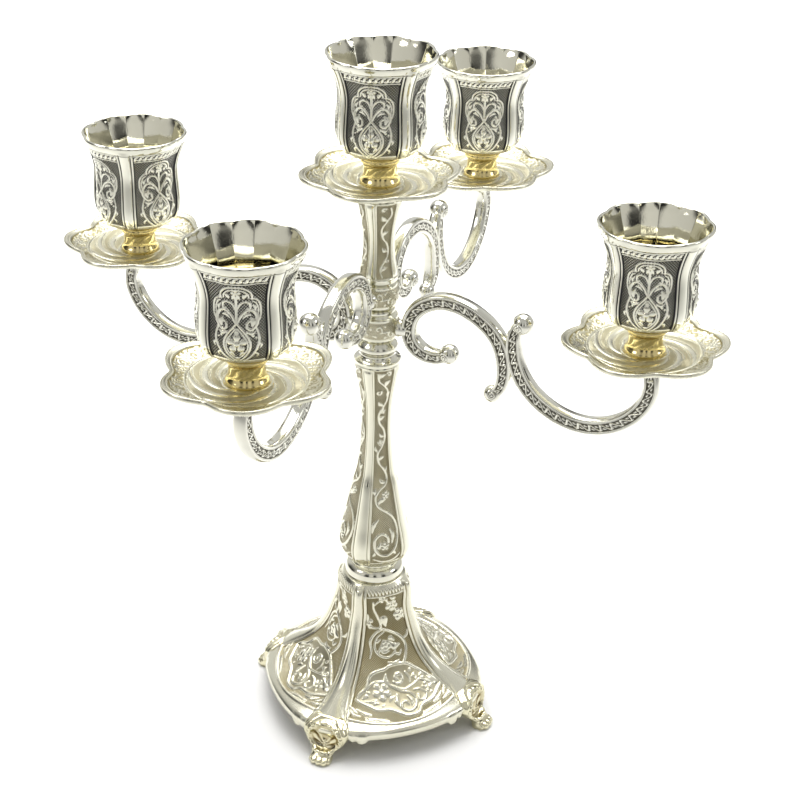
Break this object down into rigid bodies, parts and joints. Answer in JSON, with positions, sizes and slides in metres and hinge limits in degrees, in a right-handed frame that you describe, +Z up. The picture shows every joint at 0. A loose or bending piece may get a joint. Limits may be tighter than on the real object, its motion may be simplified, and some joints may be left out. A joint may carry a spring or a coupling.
{
  "type": "tabletop candelabra",
  "caption": "Silver-plated tabletop candelabra with scroll arms, scalloped drip pans, chased fluted candle cups and a bell-shaped base on paw feet; arms and cups turn.",
  "frame": {"origin": "on the table surface under the column axis, at the centre of the four feet", "axes": "+Z up along the column; the lower pair of arms lies along X and the upper pair along Y; one foot on each of +X, -X, +Y and -Y; the picture was taken from about -Y, turned 25 degrees towards +X"},
  "size_m": [0.3636, 0.3653, 0.3844],
  "materials": {
    "silver_plate": "mirror-bright silver plate, slightly warm, with dark antiquing in the chased ground",
    "silver_champagne": "pale warm silver plate with olive-gold antiquing in the chased ground",
    "screw_plate": "bright plated screw",
    "steel_hardware": "plain zinc-plated steel"
  },
  "bodies": {
    "stand": {"base_shell": "silver_champagne", "paw_feet": "silver_plate", "base_collar": "silver_plate", "lower_column": "silver_plate", "column_neck": "silver_plate", "base_washer": "steel_hardware", "base_nut": "steel_hardware", "tie_rod": "steel_hardware", "upper_stem": "silver_plate"},
    "lower_arms": {"lower_hub": "silver_plate", "inner_scroll_right": "silver_plate", "outer_scroll_right": "silver_plate", "arm_tip_right": "silver_plate", "inner_scroll_left": "silver_plate", "outer_scroll_left": "silver_plate", "arm_tip_left": "silver_plate"},
    "upper_arms": {"upper_hub": "silver_plate", "hub_spacer": "silver_plate", "inner_scroll_front": "silver_plate", "outer_scroll_front": "silver_plate", "arm_tip_front": "silver_plate", "inner_scroll_back": "silver_plate", "outer_scroll_back": "silver_plate", "arm_tip_back": "silver_plate"},
    "light_centre": {"drip_pan_centre": "silver_champagne", "cup_bowl_centre": "silver_plate", "cup_foot_centre": "silver_plate", "cup_screw_centre": "screw_plate"},
    "light_right": {"drip_pan_right": "silver_champagne", "cup_bowl_right": "silver_plate", "cup_foot_right": "silver_plate", "cup_screw_right": "screw_plate"},
    "light_left": {"drip_pan_left": "silver_champagne", "cup_bowl_left": "silver_plate", "cup_foot_left": "silver_plate", "cup_screw_left": "screw_plate"},
    "light_front": {"drip_pan_front": "silver_champagne", "cup_bowl_front": "silver_plate", "cup_foot_front": "silver_plate", "cup_screw_front": "screw_plate"},
    "light_back": {"drip_pan_back": "silver_champagne", "cup_bowl_back": "silver_plate", "cup_foot_back": "silver_plate", "cup_screw_back": "screw_plate"}
  },
  "joints": [
    {"name": "lower_arms_swivel", "type": "hinge", "parent": "stand", "child": "lower_arms", "pos_m": [0, 0, 0.2386], "axis": [0, 0, 1], "continuous": true},
    {"name": "upper_arms_swivel", "type": "hinge", "parent": "lower_arms", "child": "upper_arms", "pos_m": [0, 0, 0.2566], "axis": [0, 0, 1], "range_deg": [-50, 50]},
    {"name": "cup_turn_centre", "type": "hinge", "parent": "stand", "child": "light_centre", "pos_m": [0, 0, 0.3174], "axis": [0, 0, 1], "continuous": true},
    {"name": "cup_turn_right", "type": "hinge", "parent": "lower_arms", "child": "light_right", "pos_m": [0.1426, 0, 0.2543], "axis": [0, 0, 1], "continuous": true},
    {"name": "cup_turn_left", "type": "hinge", "parent": "lower_arms", "child": "light_left", "pos_m": [-0.1426, 0, 0.2543], "axis": [0, 0, 1], "continuous": true},
    {"name": "cup_turn_front", "type": "hinge", "parent": "upper_arms", "child": "light_front", "pos_m": [0, -0.1426, 0.2723], "axis": [0, 0, 1], "continuous": true},
    {"name": "cup_turn_back", "type": "hinge", "parent": "upper_arms", "child": "light_back", "pos_m": [0, 0.1426, 0.2723], "axis": [0, 0, 1], "continuous": true}
  ]
}
